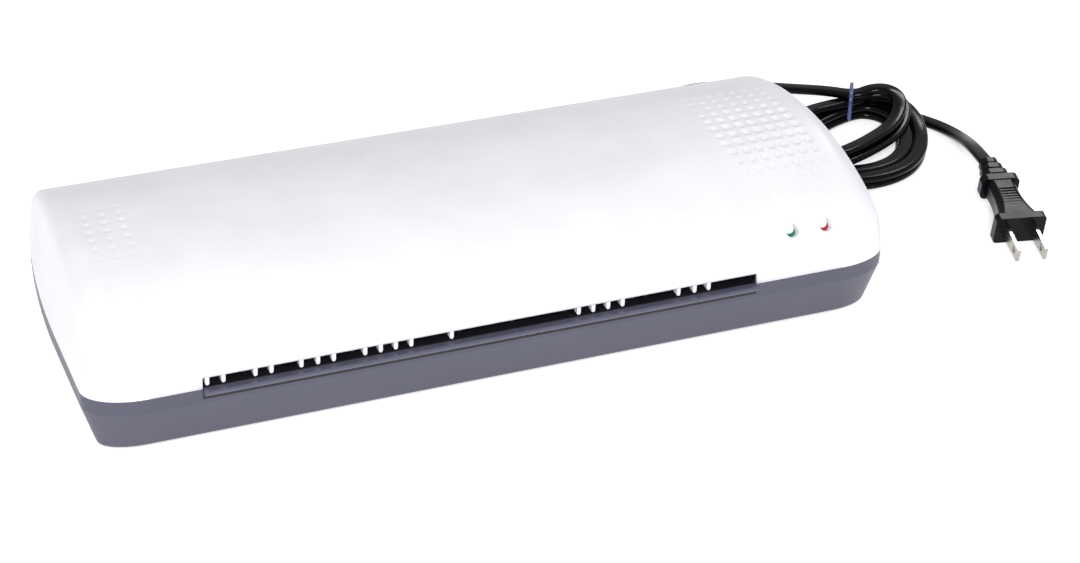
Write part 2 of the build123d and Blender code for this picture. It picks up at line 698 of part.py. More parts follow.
# ---------------------------------------------------------------- motor
BRACKET_X = (134.5, 136.0)
CAN_X = (136.0, 154.5)
EARS = tuple(polar(*MOTOR_YZ, 25.0, a) for a in (25, 205))


def make_motor_bracket():
    with BuildPart() as bracket:
        rod_x(*MOTOR_YZ, BRACKET_X, 23.5)
        for y, z in EARS:
            rod_x(y, z, BRACKET_X, 4.5)
        for y, z in POSTS:
            rod_x(y, z, (RIGHT_PLATE_X + PLATE_T, BRACKET_X[1]), 3.0)
            rod_x(y, z, BRACKET_X, 6.0)
            rod_x(y, z, (RIGHT_PLATE_X, RIGHT_PLATE_X + 12), 1.25, Mode.SUBTRACT)
        rod_x(*MOTOR_YZ, (BRACKET_X[0] - 1, BRACKET_X[1] + 1), 6.0, Mode.SUBTRACT)
        for y, z in EARS:
            rod_x(y, z, (BRACKET_X[0] - 1, BRACKET_X[1] + 1), 1.5, Mode.SUBTRACT)
    save(bracket.part, "motor_bracket")


def make_bracket_screws():
    with BuildPart() as screws:
        for y, z in POSTS:
            rod_x(y, z, (RIGHT_PLATE_X - 1.5, RIGHT_PLATE_X), 2.6)
            rod_x(y, z, (RIGHT_PLATE_X, RIGHT_PLATE_X + 10), 1.25)
    save(screws.part, "bracket_screws")


def make_drive_motor():
    with BuildPart() as can:
        rod_x(*MOTOR_YZ, CAN_X, 21.5)
        fillet(can.edges().filter_by(GeomType.CIRCLE).sort_by(Axis.X)[-1], 2.0)
        rod_x(*MOTOR_YZ, (BRACKET_X[0] - 1.0, CAN_X[0]), 5.0)
        for y, z in EARS:
            rod_x(y, z, (CAN_X[0], CAN_X[0] + 1.2), 4.2)
        with BuildSketch(Plane.YZ.offset(CAN_X[0])):
            with Locations(MOTOR_YZ):
                Rectangle(50, 7, rotation=25)
        extrude(amount=1.2)
        for y, z in EARS:
            rod_x(y, z, (CAN_X[0] - 1, CAN_X[0] + 3), 1.5, Mode.SUBTRACT)
        rod_x(*MOTOR_YZ, (BRACKET_X[0] - 3, CAN_X[0] + 8), 2.0 + RUN_FIT, Mode.SUBTRACT)
    save(can.part, "drive_motor")
    with BuildPart() as shaft:
        rod_x(*MOTOR_YZ, (GEAR_X - 3, CAN_X[0] + 7.5), 2.0)
    save(shaft.part, "motor_shaft")
    with BuildPart() as screws:
        for y, z in EARS:
            rod_x(y, z, (CAN_X[0] + 1.2, CAN_X[0] + 2.8), 2.6)
            rod_x(y, z, (BRACKET_X[0] - 2, CAN_X[0] + 1.2), 1.5)
    save(screws.part, "motor_screws")


# ---------------------------------------------------------------- electrics
def make_control_board():
    with BuildPart() as board:
        block(BOARD_X, BOARD_Y, (BOARD_Z, BOARD_Z + 1.6))
    save(board.part, "control_board")
    top = BOARD_Z + 1.6
    with BuildPart() as parts:
        block((131, 145), (23, 35), (top, top + 11))
        rod_z(151, 27, (top, top + 12), 4.0)
        rod_z(151, 37, (top, top + 8), 3.0)
        block((132, 143), (38, 42), (top, top + 7))
    save(parts.part, "board_components")


def make_lamps():
    """Two lamps in wells of the cover, with the small board behind them."""
    lens_top = 3.2
    board_top = 7.0
    for name, x in (("ready_lamp", LAMP_X[0]), ("power_lamp", LAMP_X[1])):
        with BuildPart() as lamp:
            with BuildSketch(lamp_plane(x, board_top)):
                Circle(2.9)
            extrude(amount=board_top - lens_top)
            fillet(lamp.faces().sort_by(Axis.Z)[-1].edges(), 1.2)
        save(lamp.part, name)
    with BuildPart() as board:
        plane = lamp_plane(sum(LAMP_X) / 2, board_top + 1.2)
        with BuildSketch(plane):
            Rectangle(28, 9)
        extrude(amount=1.2)
    save(board.part, "indicator_board")


def make_power_switch():
    """Rocker switch in the rear panel: a housing with a bezel, and the rocker."""
    bezel_y = PANEL_Y + PANEL_T
    half_x = SWITCH_LONG / 2
    half_z = SWITCH_HIGH / 2
    with BuildPart() as housing:
        block((SWITCH_X - half_x, SWITCH_X + half_x), (47.6, bezel_y), (SWITCH_Z - half_z, SWITCH_Z + half_z))
        block(
            (SWITCH_X - half_x - 1.2, SWITCH_X + half_x + 1.2),
            (bezel_y, bezel_y + 1.6),
            (SWITCH_Z - half_z - 1.0, SWITCH_Z + half_z + 1.0),
        )
        cut_block(
            (SWITCH_X - half_x + 1.0, SWITCH_X + half_x - 1.0),
            (bezel_y - 7.0, bezel_y + 3),
            (SWITCH_Z - half_z + 1.0, SWITCH_Z + half_z - 1.0),
        )
        rod_z(SWITCH_X, bezel_y - 1.0, (SWITCH_Z - half_z + 0.2, SWITCH_Z + half_z - 0.2), 1.04, Mode.SUBTRACT)
        for x in (-6, 0, 6):
            block((SWITCH_X + x - 0.4, SWITCH_X + x + 0.4), (41, 48), (SWITCH_Z - 2.4, SWITCH_Z + 2.4))
    save(housing.part, "power_switch_housing")
    tilt = 8
    pivot = Vector(SWITCH_X, bezel_y - 1.0, SWITCH_Z)
    turned = Plane(origin=pivot, x_dir=Vector(1, 0, 0).rotate(Axis.Z, tilt), z_dir=(0, 0, 1))
    with BuildPart() as rocker:
        with BuildSketch(turned.offset(-4.9)):
            with BuildLine():
                Polyline((-7.9, 2.2), (-7.4, -1.8), (-3.0, -3.6), (3.0, -3.6), (7.4, -1.8), (7.9, 2.2))
                ThreePointArc((7.9, 2.2), (0, 1.2), (-7.9, 2.2))
            make_face()
        extrude(amount=9.8)
        with BuildSketch(turned.offset(-5.9)):
            Circle(1.0)
        extrude(amount=11.8)
    save(rocker.part, "power_switch_rocker")


# ---------------------------------------------------------------- mains lead
TAIL_ROUTE = (
    (143.0, 88.0, 14.0), (143.3, 98.0, 13.4), (144.8, 109.0, 10.4), (149.0, 121.0, 6.0),
    (157.0, 131.5, 3.7), (170.0, 138.0, 3.5), (185.0, 138.5, 3.5), (199.0, 133.0, 3.8),
    (210.5, 123.0, 5.5), (221.0, 111.5, 8.5), (231.0, 100.5, 11.5),
)
LEAD_ROUTE = (
    (258.0, 90.0, 5.0), (264.0, 83.0, 4.4), (270.8, 74.5, 3.8), (275.8, 65.5, 3.6), (277.4, 55.0, 4.6),
    (276.0, 44.0, 6.9), (273.0, 32.0, 9.8), (269.6, 19.5, 12.6), (266.5, 7.0, 14.6),
)
COIL_CENTRE = (224.0, 63.0)
COIL_ANGLE = 45.0
COIL_OUTER = (49.0, 41.0)
COIL_INNER = (25.0, 15.0)
COIL_HIGH = 18.0
TIE_ANGLE = 61.0       # direction from the coil's centre to the tie
PLUG_AXIS = (-0.19, -0.968, -0.158)      # the plug's face rests on the table, its neck is raised
PLUG_LENGTH = 47.5


def corner_radius(before, point, after):
    """Radius of the arc that rounds one point of a cord's route."""
    a = Vector(*point) - Vector(*before)
    b = Vector(*after) - Vector(*point)
    turn = math.radians(a.get_angle(b))
    return 0.45 * min(a.length, b.length) / math.tan(turn / 2)


def make_cord(name, route):
    """Round tube along straight runs joined by tangent arcs."""
    radii = [corner_radius(*route[k - 1 : k + 2]) for k in range(1, len(route) - 1)]
    with BuildPart() as cord:
        with BuildLine():
            path = FilletPolyline(*route, radius=radii)
        with BuildSketch(Plane(origin=path @ 0, z_dir=path % 0)):
            Circle(CORD_D / 2)
        sweep(path=path)
    section = math.pi * CORD_D**2 / 4
    print(name, "length", round(path.length, 1), "radii", [round(r) for r in radii])
    print(name, "volume ratio", round(cord.part.volume / (section * path.length), 4))
    save(cord.part, name)


def make_coil():
    """Outer shape of the tied oval coil of lead."""
    with BuildPart() as coil:
        with BuildSketch():
            with Locations(COIL_CENTRE):
                Ellipse(*COIL_OUTER, rotation=COIL_ANGLE)
                Ellipse(*COIL_INNER, rotation=COIL_ANGLE, mode=Mode.SUBTRACT)
        extrude(amount=COIL_HIGH)
        fillet(coil.edges().group_by(Axis.Z)[-1], 5)
    save(coil.part, "cord_coil")


def make_cord_boot():
    """Tapered boot that guards the lead where it leaves the rear panel."""
    outer_y = PANEL_Y + PANEL_T
    with BuildPart() as boot:
        with BuildSketch(Plane.XY.offset(CORD_Z)):
            with BuildLine():
                Polyline(
                    (CORD_X, PANEL_Y - 5), (CORD_X + 6.2, PANEL_Y - 5), (CORD_X + 6.2, PANEL_Y),
                    (CORD_X + 4.6, PANEL_Y), (CORD_X + 4.6, outer_y), (CORD_X + 6.2, outer_y),
                    (CORD_X + 6.2, outer_y + 2), (CORD_X + 5.4, outer_y + 2), (CORD_X + 4.3, BOOT_END_Y),
                    (CORD_X, BOOT_END_Y), close=True,
                )
            make_face()
        revolve(axis=Axis((CORD_X, 0, CORD_Z), (0, 1, 0)))
        for k in range(4):
            y = outer_y + 5 + k * 4.6
            with BuildSketch(Plane.XZ.offset(-y)):
                with Locations((CORD_X, CORD_Z)):
                    Circle(7)
                    Circle(3.9, mode=Mode.SUBTRACT)
            extrude(amount=-1.4, mode=Mode.SUBTRACT)
    save(boot.part, "cord_boot")


def make_plug():
    """Two blade mains plug with a ribbed neck, its front edge on the table."""
    axis = Vector(*PLUG_AXIS).normalized()
    across = Vector(0, 0, 1).cross(axis).normalized()
    start = Plane(origin=LEAD_ROUTE[-1], x_dir=across, z_dir=axis)
    with BuildPart() as plug:
        with BuildSketch(start):
            RectangleRounded(8, 7.4, 3)
        extrude(amount=16)
        for k in range(3):
            with BuildSketch(start.offset(k * 4.4)):
                RectangleRounded(8.5 + 1.8 * k, 8 + 0.6 * k, 3)
            extrude(amount=3)
        with BuildSketch(start.offset(14)):
            RectangleRounded(18, 11.5, 3)
        extrude(amount=4)
        with BuildSketch(start.offset(18)):
            RectangleRounded(13.6, 10.8, 3)
        with BuildSketch(start.offset(30)):
            RectangleRounded(13.2, 11, 3)
        with BuildSketch(start.offset(43.5)):
            RectangleRounded(19.5, 12.6, 3)
        loft()
        with BuildSketch(start.offset(43.5)):
            RectangleRounded(23.5, 14, 2)
        extrude(amount=4)
    save(plug.part, "plug_body")
    with BuildPart() as blades:
        for side in (-1, 1):
            with BuildSketch(start.offset(PLUG_LENGTH)):
                with Locations((side * 6.35, 0)):
                    Rectangle(1.5, 6.35)
            extrude(amount=17.5)
        holes = Plane(origin=start.origin + axis * (PLUG_LENGTH + 13), x_dir=axis, z_dir=across)
        with BuildSketch(holes.offset(-10)):
            Circle(1.6)
        extrude(amount=20, mode=Mode.SUBTRACT)
    save(blades.part, "plug_blades")


def oval_reach(half_axes, degrees):
    """Distance from an oval's centre to its edge, in a direction from its long axis."""
    c = math.cos(math.radians(degrees)) / half_axes[0]
    d = math.sin(math.radians(degrees)) / half_axes[1]
    return 1 / math.hypot(c, d)


def make_cord_tie():
    """Thin strap round the gathered strands of the coil."""
    a = math.radians(TIE_ANGLE)
    along = Vector(-math.sin(a), math.cos(a), 0)
    outward = Vector(math.cos(a), math.sin(a), 0)
    near = oval_reach(COIL_INNER, TIE_ANGLE - COIL_ANGLE)
    far = oval_reach(COIL_OUTER, TIE_ANGLE - COIL_ANGLE)
    centre = Vector(*COIL_CENTRE, COIL_HIGH / 2) + outward * (near + far) / 2
    plane = Plane(origin=centre - along * 1.5, x_dir=outward, z_dir=along)
    with BuildPart() as tie:
        with BuildSketch(plane):
            RectangleRounded(far - near + 3, COIL_HIGH - 0.2, 6)
            RectangleRounded(far - near + 1.4, COIL_HIGH - 1.8, 5.2, mode=Mode.SUBTRACT)
        extrude(amount=3)
    save(tie.part, "cord_tie")


make_top_cover()
make_base_shell()
make_feed_tray()
make_exit_tray()
make_tray_screws()
make_rubber_feet()
make_case_screws()
make_rear_panel()
make_side_plate("left_side_plate", LEFT_PLATE_X, -1)
make_side_plate("right_side_plate", RIGHT_PLATE_X, 1)
make_plate_screws()
make_cross_screws()
make_cross_members()
make_upper_guide()
make_heating_elements()
make_thermostat()
make_thermal_fuse()
make_gears()
make_roller("lower", LOWER_ROLLER_Z)
make_roller("upper", UPPER_ROLLER_Z)
make_lower_bushes()
make_bearing_blocks()
make_pressure_springs()
make_idler_pin()
make_motor_bracket()
make_bracket_screws()
make_drive_motor()
make_control_board()
make_lamps()
make_power_switch()
make_cord("cord_tail", TAIL_ROUTE)
make_cord("cord_lead", LEAD_ROUTE)
make_coil()
make_cord_boot()
make_plug()
make_cord_tie()
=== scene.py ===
import json
import math

import bmesh
import bpy
from mathutils import Matrix, Vector


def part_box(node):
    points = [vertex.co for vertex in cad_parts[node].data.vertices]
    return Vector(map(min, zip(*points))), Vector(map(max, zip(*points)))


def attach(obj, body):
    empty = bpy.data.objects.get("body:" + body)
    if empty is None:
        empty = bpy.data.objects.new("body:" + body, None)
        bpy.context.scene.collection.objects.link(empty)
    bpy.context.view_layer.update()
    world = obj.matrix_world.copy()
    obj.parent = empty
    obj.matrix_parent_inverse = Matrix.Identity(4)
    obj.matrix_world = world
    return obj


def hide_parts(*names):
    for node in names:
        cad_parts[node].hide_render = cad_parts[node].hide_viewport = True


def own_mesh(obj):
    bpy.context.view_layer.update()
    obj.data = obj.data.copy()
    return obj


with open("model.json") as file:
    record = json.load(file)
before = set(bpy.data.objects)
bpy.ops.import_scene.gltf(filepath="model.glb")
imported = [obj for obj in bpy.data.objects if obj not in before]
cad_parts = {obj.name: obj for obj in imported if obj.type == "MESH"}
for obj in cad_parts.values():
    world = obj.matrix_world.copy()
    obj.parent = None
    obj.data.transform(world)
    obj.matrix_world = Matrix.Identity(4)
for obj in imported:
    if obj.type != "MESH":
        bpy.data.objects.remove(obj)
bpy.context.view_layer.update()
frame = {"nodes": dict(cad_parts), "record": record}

MM = 0.001
ALL_NODES = frame["nodes"]


# ---------------------------------------------------------------- helpers
def smooth(x):
    """0 below 0, 1 above 1, and an S curve between."""
    x = max(0.0, min(1.0, x))
    return x * x * (3 - 2 * x)


def mesh_piece(name, points, faces, material, body="case", shade=True):
    """New mesh object from points in millimetres, riding on a CAD body."""
    mesh = bpy.data.meshes.new(name)
    mesh.from_pydata([Vector(p) * MM for p in points], [], faces)
    mesh.validate()
    clean = bmesh.new()
    clean.from_mesh(mesh)
    bmesh.ops.remove_doubles(clean, verts=clean.verts, dist=1e-6)
    bmesh.ops.recalc_face_normals(clean, faces=clean.faces)
    clean.to_mesh(mesh)
    clean.free()
    piece = bpy.data.objects.new(name, mesh)
    bpy.context.scene.collection.objects.link(piece)
    for face in mesh.polygons:
        face.use_smooth = shade
    mesh.materials.append(material)
    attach(piece, body)
    return piece


def apply_modifiers(piece):
    """Replaces a piece's mesh by what its modifiers make of it."""
    bpy.context.view_layer.update()
    graph = bpy.context.evaluated_depsgraph_get()
    made = bpy.data.meshes.new_from_object(piece.evaluated_get(graph))
    piece.modifiers.clear()
    piece.data = made


def bridge(rings, closed=True):
    """Faces between rings of points that have the same count, joined in order."""
    count = len(rings[0])
    last = count if closed else count - 1
    points = [p for ring in rings for p in ring]
    faces = []
    for r in range(len(rings) - 1):
        for k in range(last):
            a = r * count + k
            b = r * count + (k + 1) % count
            faces.append((a, b, b + count, a + count))
    return points, faces


def add_closed(points, faces, rings):
    """Adds one tube through rings, closed at both ends, to a piece's points and faces."""
    verts, sides = bridge(rings)
    start = len(points)
    size = len(rings[0])
    last = start + len(verts) - size
    points += verts
    faces += [tuple(start + i for i in f) for f in sides]
    faces += [tuple(range(start, start + size)), tuple(range(last, last + size))]


# ---------------------------------------------------------------- camera
CAMERA_AT = (-342.468, -902.188, 612.656)
CAMERA_RIGHT = (0.92760091, -0.37208646, 0.03329002)
CAMERA_UP = (0.17116545, 0.50253036, 0.84744653)
LENS = 88.724


def make_camera():
    data = bpy.data.cameras.new("camera")
    data.lens = LENS
    data.sensor_width = 36
    data.clip_start = 0.02
    data.clip_end = 20
    camera = bpy.data.objects.new("camera", data)
    right = Vector(CAMERA_RIGHT).normalized()
    up = Vector(CAMERA_UP).normalized()
    turn = Matrix((right, up, right.cross(up))).transposed().to_4x4()
    camera.matrix_world = Matrix.Translation(Vector(CAMERA_AT) * MM) @ turn
    bpy.context.scene.collection.objects.link(camera)
    bpy.context.scene.camera = camera


make_camera()


# ---------------------------------------------------------------- materials
class Paint:
    """Principled material with node helpers; all patterns are in object coordinates."""

    def __init__(self, name, color, rough, metal=0.0, coat=0.0, specular=0.5):
        self.material = bpy.data.materials.new(name)
        self.material.use_nodes = True
        self.tree = self.material.node_tree
        self.shader = self.tree.nodes["Principled BSDF"]
        self.shader.inputs["Base Color"].default_value = (*color, 1)
        self.shader.inputs["Roughness"].default_value = rough
        self.shader.inputs["Metallic"].default_value = metal
        self.shader.inputs["Coat Weight"].default_value = coat
        self.shader.inputs["Coat Roughness"].default_value = 0.15
        self.shader.inputs["Specular IOR Level"].default_value = specular
        self.color = color
        self.rough = rough
        self.place = self.tree.nodes.new("ShaderNodeTexCoord").outputs["Object"]

    def node(self, kind, **inputs):
        made = self.tree.nodes.new(kind)
        for key, value in inputs.items():
            made.inputs[key.replace("_", " ")].default_value = value
        return made

    def link(self, a, b):
        self.tree.links.new(a, b)

    def noise(self, scale, stretch=(1, 1, 1), detail=4.0):
        mapping = self.node("ShaderNodeMapping", Scale=stretch)
        self.link(self.place, mapping.inputs["Vector"])
        made = self.node("ShaderNodeTexNoise", Scale=scale, Detail=detail)
        self.link(mapping.outputs["Vector"], made.inputs["Vector"])
        return made.outputs["Fac"]

    def ramp(self, value, low, high, at=(0.35, 0.65)):
        made = self.node("ShaderNodeValToRGB")
        made.color_ramp.elements[0].position = at[0]
        made.color_ramp.elements[1].position = at[1]
        made.color_ramp.elements[0].color = (*low, 1)
        made.color_ramp.elements[1].color = (*high, 1)
        self.link(value, made.inputs["Fac"])
        return made.outputs["Color"]

    def tint(self, value, spread):
        """Base colour that varies a little each way about the plain one."""
        low = tuple(c * (1 - spread) for c in self.color)
        high = tuple(min(1.0, c * (1 + spread)) for c in self.color)
        self.link(self.ramp(value, low, high), self.shader.inputs["Base Color"])

    def gloss(self, value, spread):
        made = self.node("ShaderNodeMapRange")
        made.inputs["To Min"].default_value = max(0.02, self.rough - spread)
        made.inputs["To Max"].default_value = min(1.0, self.rough + spread)
        self.link(value, made.inputs["Value"])
        self.link(made.outputs["Result"], self.shader.inputs["Roughness"])

    def bump(self, value, strength, distance):
        made = self.node("ShaderNodeBump", Strength=strength, Distance=distance)
        self.link(value, made.inputs["Height"])
        self.link(made.outputs["Normal"], self.shader.inputs["Normal"])


def moulded(name, color, rough, grain=2600, depth=0.00004, coat=0.0):
    """Moulded plastic: fine spark-eroded grain, slight sheen changes."""
    paint = Paint(name, color, rough, coat=coat)
    paint.tint(paint.noise(38), 0.025)
    paint.gloss(paint.noise(90), 0.05)
    paint.bump(paint.noise(grain, detail=2), 0.25, depth)
    return paint


def brushed(name, color, rough, stretch, scale=900, spread=0.09):
    """Metal with drawn or ground lines along one axis."""
    paint = Paint(name, color, rough, metal=1.0)
    lines = paint.noise(scale, stretch)
    paint.tint(lines, 0.10)
    paint.gloss(lines, spread)
    paint.bump(lines, 0.2, 0.00003)
    return paint


def make_materials():
    made = {}
    white = moulded("white_case", (0.80, 0.797, 0.835), 0.40, depth=0.00002)
    white.shader.inputs["Subsurface Weight"].default_value = 0.06
    white.shader.inputs["Subsurface Radius"].default_value = (0.004, 0.004, 0.004)
    made["white_case"] = white
    made["grey_case"] = moulded("grey_case", (0.066, 0.066, 0.098), 0.42)
    made["grey_tray"] = moulded("grey_tray", (0.088, 0.088, 0.130), 0.28)
    made["black_plastic"] = moulded("black_plastic", (0.007, 0.007, 0.009), 0.5)
    made["rocker_black"] = moulded("rocker_black", (0.015, 0.015, 0.017), 0.22, depth=0.00001)
    made["rubber_black"] = moulded("rubber_black", (0.02, 0.02, 0.021), 0.75, grain=1500)
    made["block_plastic"] = moulded("block_plastic", (0.09, 0.09, 0.095), 0.5)
    made["gear_nylon"] = moulded("gear_nylon", (0.74, 0.72, 0.62), 0.38)
    made["component_black"] = moulded("component_black", (0.03, 0.03, 0.035), 0.42)
    made["phenolic"] = moulded("phenolic", (0.07, 0.045, 0.03), 0.4)
    made["steel_screw"] = brushed("steel_screw", (0.56, 0.57, 0.60), 0.30, (1, 1, 1), 1400)
    made["zinc_steel"] = brushed("zinc_steel", (0.60, 0.62, 0.64), 0.38, (0.15, 1, 1))
    made["heater_aluminium"] = brushed("heater_aluminium", (0.74, 0.74, 0.76), 0.34, (0.03, 1, 1))
    made["bright_steel"] = brushed("bright_steel", (0.68, 0.68, 0.70), 0.22, (1, 0.05, 0.05))
    made["spring_steel"] = brushed("spring_steel", (0.42, 0.42, 0.44), 0.28, (1, 1, 0.2))
    made["bronze_bush"] = brushed("bronze_bush", (0.50, 0.33, 0.15), 0.42, (1, 1, 1), 2200)
    made["blade_brass"] = brushed("blade_brass", (0.42, 0.40, 0.37), 0.24, (1, 0.1, 1), 1200, 0.05)
    mica = Paint("mica", (0.50, 0.38, 0.20), 0.35, coat=0.3)
    mica.tint(mica.noise(160, (0.2, 1, 1)), 0.25)
    mica.bump(mica.noise(700), 0.3, 0.00005)
    made["mica"] = mica
    silicone = Paint("silicone_red", (0.42, 0.075, 0.045), 0.6)
    silicone.tint(silicone.noise(140), 0.07)
    silicone.bump(silicone.noise(1800, (1, 0.2, 0.2)), 0.25, 0.00003)
    made["silicone_red"] = silicone
    board = Paint("board_green", (0.02, 0.16, 0.07), 0.35, coat=0.4)
    board.tint(board.noise(260, (1, 0.3, 1)), 0.3)
    board.bump(board.noise(420, (0.3, 1, 1)), 0.3, 0.00004)
    made["board_green"] = board
    for name, color in (("lamp_green", (0.0, 0.16, 0.085)), ("lamp_red", (0.36, 0.006, 0.02))):
        lens = Paint(name, color, 0.12, coat=0.5)
        lens.tint(lens.noise(500), 0.12)
        lens.bump(lens.noise(900), 0.1, 0.00002)
        made[name] = lens
    cord = Paint("cord_black", (0.002, 0.002, 0.003), 0.17, specular=0.13)
    cord.gloss(cord.noise(60), 0.07)
    cord.bump(cord.noise(320, detail=5), 0.22, 0.00010)
    made["cord_black"] = cord
    plug = Paint("plug_black", (0.002, 0.002, 0.004), 0.27, specular=0.15)
    plug.gloss(plug.noise(80), 0.06)
    plug.bump(plug.noise(900), 0.25, 0.00005)
    made["plug_black"] = plug
    tie = Paint("tie_clear", (0.10, 0.11, 0.33), 0.2, coat=0.4)
    tie.shader.inputs["Alpha"].default_value = 0.6
    tie.bump(tie.noise(900), 0.3, 0.00005)
    made["tie_clear"] = tie
    return {name: paint.material for name, paint in made.items()}


MATERIALS = make_materials()
SLOT_OF = {row["node"]: row["material_slot"] for row in frame["record"]["subparts"]}


def dress_nodes():
    """Every carried-over CAD node takes the procedural material of its slot."""
    for name, node in ALL_NODES.items():
        node.data.materials.clear()
        node.data.materials.append(MATERIALS[SLOT_OF[name]])


dress_nodes()


# ---------------------------------------------------------------- mains lead
CORD_WIDE = 7.0
CORD_THICK = 3.6
LIE = CORD_THICK / 2 + 0.15   # height of the flat lead's middle where it lies on the table
TAIL_ROUTE = (
    (143.0, 88.0, 14.0), (143.3, 98.0, 13.4), (144.8, 109.0, 10.4), (149.0, 121.0, 6.0),
    (157.0, 131.5, 3.2), (170.0, 138.0, 2.2), (185.0, 138.5, 2.2), (199.0, 133.0, 3.2),
    (210.5, 123.0, 5.5), (221.0, 111.5, 8.5), (231.0, 100.5, 11.5),
)
LEAD_ROUTE = (
    (252.0, 96.5, LIE), (258.0, 90.0, LIE), (264.0, 83.0, LIE), (270.8, 74.5, LIE),
    (275.8, 65.5, 2.2), (277.4, 55.0, 3.6), (276.0, 44.0, 6.4), (273.0, 32.0, 9.8),
    (269.6, 19.5, 12.6), (266.5, 7.0, 14.6),
)
# One lap of the coil seen from above, clockwise from the tie: the laps that lie on the
# table, and the two that cross over them at the right.
LOW_LAP = (
    (242, 93.5), (252, 90.5), (258.5, 82), (259.5, 70), (255.5, 57), (247.5, 44), (236.5, 34.5),
    (222, 30.5), (208, 32.5), (197, 40.5), (192, 54), (195, 68), (206, 80), (223, 88.5),
)
HIGH_LAP = (
    (241, 90), (250, 89.5), (257, 85), (259.5, 77), (254, 67), (243.5, 57.5), (231, 50),
    (218, 43), (206, 39), (196, 43), (190, 55), (193, 70), (205, 82), (222, 88.5),
)
# Each lap: its line, how far outside it the strand runs, its height, and how much it
# rises over the lead that leaves underneath.
LAPS = (
    (HIGH_LAP, -1.0, 12.9, 3.6),
    (HIGH_LAP, 1.5, 9.2, 3.6),
    (LOW_LAP, 4.2, 5.6, 3.6),
    (LOW_LAP, -3.0, 5.6, 0.0),
    (LOW_LAP, -4.0, LIE, 0.0),
    (LOW_LAP, 3.8, LIE, 3.6),
)
LAST_LAP = (LOW_LAP, 10.0, LIE, 0.0)
STEPS = len(LOW_LAP)
TIE_PINCH = 0.4            # how far the tie draws the strands together
COIL_CENTRE = (224, 63)


def lap_point(lap, step):
    """A point of the coil: each strand shifts to the next lap's place on the hidden side."""
    line, out, high, rise = LAPS[lap]
    next_line, next_out, next_high, _ = (LAPS + (LAST_LAP,))[lap + 1]
    share = smooth((step - 8 - 0.6 * (len(LAPS) - 1 - lap)) / 2.2)
    here = Vector(line[step]).lerp(Vector(next_line[step]), share)
    ahead = Vector(line[(step + 1) % STEPS]) - Vector(line[step - 1])
    outward = Vector((-ahead.y, ahead.x)).normalized()
    from_tie = min(step, STEPS - step)
    squeeze = 1 - TIE_PINCH * smooth(1 - from_tie / 2)
    here += outward * (out * (1 - share) + next_out * share) * squeeze
    z = high * (1 - share) + next_high * share
    z += rise * smooth((step - 0.2) / 1.2) * smooth((3.8 - step) / 1.4)
    if line is HIGH_LAP:
        z -= 2.0 * math.exp(-((step - 5.3) ** 2))
    return here.x, here.y, z


def cord_line():
    """The lead's route as points read from its NURBS spline, in metres."""
    route = list(TAIL_ROUTE)
    route += [lap_point(lap, step) for lap in range(len(LAPS)) for step in range(STEPS)]
    route += list(LEAD_ROUTE)
    data = bpy.data.curves.new("cord_route", "CURVE")
    data.dimensions = "3D"
    spline = data.splines.new("NURBS")
    spline.points.add(len(route) - 1)
    for point, place in zip(spline.points, route):
        point.co = (*(Vector(place) * MM), 1)
    spline.order_u = 3
    spline.use_endpoint_u = True
    spline.resolution_u = 8
    carrier = bpy.data.objects.new("cord_route", data)
    bpy.context.scene.collection.objects.link(carrier)
    line = bpy.data.meshes.new_from_object(carrier)
    points = [v.co.copy() for v in line.vertices]
    bpy.data.objects.remove(carrier)
    bpy.data.meshes.remove(line)
    return points


def twin_section(half_wide, half_thick, count=12):
    """Outline of a flat twin lead: two round cores with a groove between them."""
    middle = half_wide - half_thick
    outline = []
    for side in (1, -1):
        for k in range(count):
            a = -math.pi * 0.42 + math.pi * 0.84 * k / (count - 1)
            outline.append((side * (middle + half_thick * math.cos(a)), side * half_thick * math.sin(a)))
        outline.append((0.0, side * half_thick * 0.80))
    return outline


def tube_along(name, points, outline, material):
    """Tube of a flat outline (in millimetres) along points; its wide way stays level."""
    rings = []
    for k, point in enumerate(points):
        ahead = (points[min(k + 1, len(points) - 1)] - points[max(k - 1, 0)]).normalized()
        wide = Vector((0, 0, 1)).cross(ahead).normalized()
        thick = ahead.cross(wide)
        rings.append([point / MM + wide * u + thick * v for u, v in outline])
    verts, faces = bridge(rings)
    size = len(outline)
    faces.append(tuple(range(size)))
    faces.append(tuple(range(len(verts) - size, len(verts))))
    return mesh_piece(name, verts, faces, material)


def make_cord():
    points = cord_line()
    outline = twin_section(CORD_WIDE / 2, CORD_THICK / 2)
    lead = tube_along("mains_lead", points, outline, MATERIALS["cord_black"])
    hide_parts("cord_tail", "cord_coil", "cord_lead")
    length = sum((b - a).length for a, b in zip(points, points[1:]))
    print("lead length", round(length, 3))
    return lead, points, length


LEAD, LEAD_POINTS, LEAD_LENGTH = make_cord()


